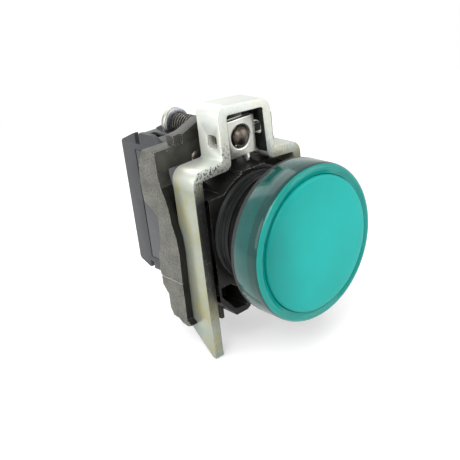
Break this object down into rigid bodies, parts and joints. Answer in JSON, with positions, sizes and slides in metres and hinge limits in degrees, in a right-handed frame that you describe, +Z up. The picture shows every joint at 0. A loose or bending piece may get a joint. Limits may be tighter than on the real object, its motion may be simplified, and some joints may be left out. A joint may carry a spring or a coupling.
{
  "type": "panel pilot light",
  "caption": "Round teal pilot light for a 22 mm panel hole: metal bezel head, cast clamp collar with screw-driven stirrup, and a narrow clip-on lamp module behind.",
  "frame": {"origin": "on the light's axis in the plane of the panel's front face, where the gasket seats", "axes": "+Z up, front of the lens towards -Y, clamp screw above the axis, +X to the right seen from the front"},
  "size_m": [0.03, 0.0503, 0.0476],
  "materials": {
    "gasket": "matt moulded rubber",
    "chrome": "polished, fine turning marks",
    "lens": "translucent teal, satin face",
    "seal": "matt rubber",
    "diffuser": "white satin",
    "barrel": "black, lightly satin",
    "casting": "dark grey die-cast zinc, dull",
    "spring_steel": "bright",
    "zinc_strip": "bright zinc plate, yellowish stains",
    "zinc_screw": "zinc plate, worn crests",
    "washer": "blue zinc plate",
    "housing": "grey, fine spark texture",
    "latch": "grey satin",
    "board": "green solder mask",
    "lamp": "clear tinted resin",
    "resistor": "tan lacquer",
    "capacitor": "blue lacquer",
    "brass": "rolled"
  },
  "bodies": {
    "light": {"seal_gasket": "gasket", "bezel_ring": "chrome", "diffuser": "diffuser", "head_body": "barrel", "collar_body": "casting", "lock_spring": "spring_steel", "spring_pin": "spring_steel", "arm_clips": "spring_steel", "module_housing": "housing", "module_cover": "housing", "latch_spring": "spring_steel", "led_board": "board", "lamp": "lamp", "resistor": "resistor", "capacitor": "capacitor", "terminal_plate_top": "brass", "terminal_plate_bottom": "brass"},
    "lens_thread": {"lens_seal": "seal"},
    "lens": {"lens_cap": "lens"},
    "lock_ring": {"lock_ring": "spring_steel"},
    "clamp": {"clamp_stirrup": "zinc_strip", "clamp_plate": "zinc_strip"},
    "clamp_screw": {"clamp_screw": "zinc_screw", "screw_washer": "washer"},
    "latch": {"module_latch": "latch"},
    "top_washer": {"terminal_washer_top": "zinc_screw"},
    "top_screw": {"terminal_screw_top": "zinc_screw"},
    "bottom_washer": {"terminal_washer_bottom": "zinc_screw"},
    "bottom_screw": {"terminal_screw_bottom": "zinc_screw"}
  },
  "joints": [
    {"name": "lens_slide", "type": "slide", "parent": "light", "child": "lens_thread", "axis": [0, -1, 0], "range_m": [0, 0.002]},
    {"name": "lens_turn", "type": "hinge", "parent": "lens_thread", "child": "lens", "pos_m": [0, 0, 0], "axis": [0, -1, 0], "range_deg": [0, 720.5]},
    {"name": "lock_ring_turn", "type": "hinge", "parent": "light", "child": "lock_ring", "pos_m": [0, 0.0166, 0], "axis": [0, -1, 0], "range_deg": [0, 25], "stiffness_Nm_per_rad": 0.02, "springref_deg": -20.05},
    {"name": "clamp_slide", "type": "slide", "parent": "light", "child": "clamp", "axis": [0, -1, 0], "range_m": [-0.0005, 0.0081]},
    {"name": "clamp_screw_turn", "type": "hinge", "parent": "clamp", "child": "clamp_screw", "pos_m": [0, 0.0205, 0.017], "axis": [0, -1, 0], "range_deg": [-257.5, 4166.5]},
    {"name": "latch_slide", "type": "slide", "parent": "light", "child": "latch", "axis": [0, 0, -1], "range_m": [0, 0.0012], "stiffness_N_per_m": 800, "springref_m": -0.0012, "deforming": ["latch_spring"]},
    {"name": "terminal_top_slide", "type": "slide", "parent": "light", "child": "top_washer", "axis": [0, 1, 0], "range_m": [0, 0.003]},
    {"name": "terminal_top_turn", "type": "hinge", "parent": "top_washer", "child": "top_screw", "pos_m": [0, 0.0375, 0.009], "axis": [0, 1, 0], "range_deg": [0, 1800.5]},
    {"name": "terminal_bottom_slide", "type": "slide", "parent": "light", "child": "bottom_washer", "axis": [0, 1, 0], "range_m": [0, 0.003]},
    {"name": "terminal_bottom_turn", "type": "hinge", "parent": "bottom_washer", "child": "bottom_screw", "pos_m": [0, 0.0375, -0.009], "axis": [0, 1, 0], "range_deg": [0, 1800.5]}
  ],
  "couplings": [
    {"joint": "lens_turn", "follows": "lens_slide", "rad_per_m": 6283.2},
    {"joint": "clamp_screw_turn", "follows": "clamp_slide", "rad_per_m": 8976},
    {"joint": "terminal_top_turn", "follows": "terminal_top_slide", "rad_per_m": 10472},
    {"joint": "terminal_bottom_turn", "follows": "terminal_bottom_slide", "rad_per_m": 10472}
  ]
}
